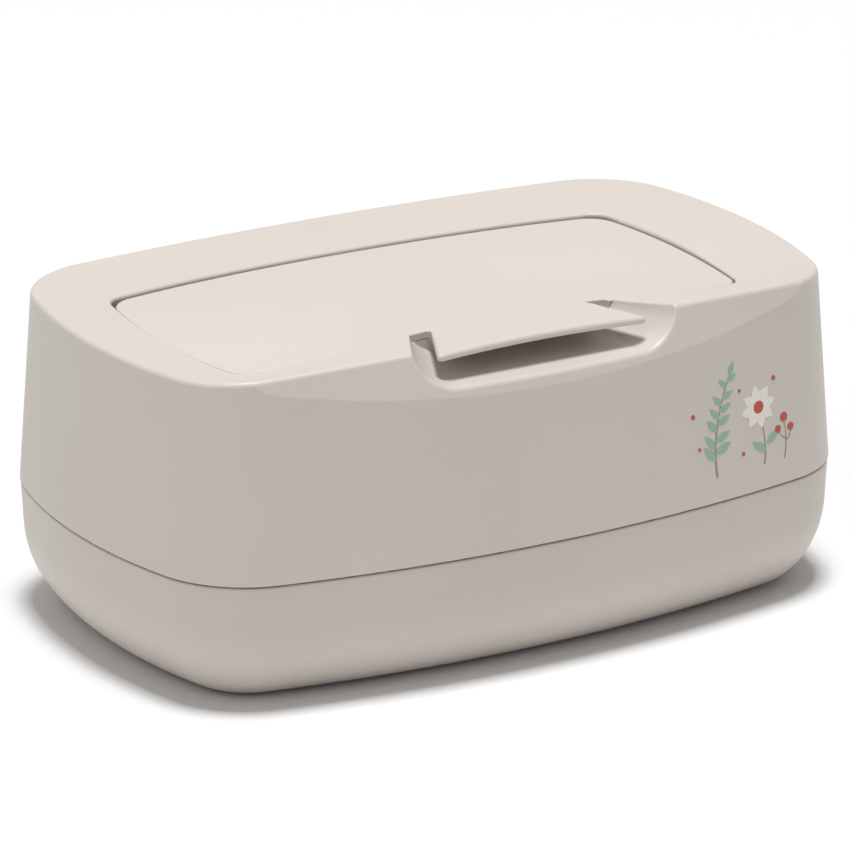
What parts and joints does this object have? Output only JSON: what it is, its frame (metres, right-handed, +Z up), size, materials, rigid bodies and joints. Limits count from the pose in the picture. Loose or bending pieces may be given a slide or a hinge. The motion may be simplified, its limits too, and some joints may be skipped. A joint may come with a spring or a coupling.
{
  "type": "wet wipes box",
  "caption": "Low oblong wipes box with bowed sides: a rounded tray, a lift-off cover with a dished top and finger scoop, and a hinged flip lid with a flared tab.",
  "frame": {"origin": "under the middle of the box, on the surface that it stands on", "axes": "+X along the length to the right as seen from the front, +Y to the rear where the hinge is, +Z up"},
  "size_m": [0.22, 0.1392, 0.0934],
  "materials": {
    "shell_plastic": "fine matte, warm pale grey",
    "lid_plastic": "fine matte, warm pale grey",
    "soft_seal": "soft silicone",
    "soft_insert": "soft silicone",
    "pin_steel": "satin",
    "pad_rubber": "matte"
  },
  "bodies": {
    "base": {"base_tray": "shell_plastic", "rim_seal": "soft_seal", "foot_front_left": "pad_rubber", "foot_front_right": "pad_rubber", "foot_rear_left": "pad_rubber", "foot_rear_right": "pad_rubber"},
    "cover": {"top_cover": "shell_plastic", "dispensing_insert": "soft_insert"},
    "lid": {"flip_lid": "lid_plastic", "lid_seal": "soft_seal", "hinge_pin_left": "pin_steel", "hinge_pin_right": "pin_steel"}
  },
  "joints": [
    {"name": "cover_lift", "type": "slide", "parent": "base", "child": "cover", "axis": [0, 0, 1], "range_m": [0, 0.06]},
    {"name": "lid_hinge", "type": "hinge", "parent": "cover", "child": "lid", "pos_m": [0, 0.034, 0.0839], "axis": [-1, 0, 0], "range_deg": [0, 95]}
  ]
}
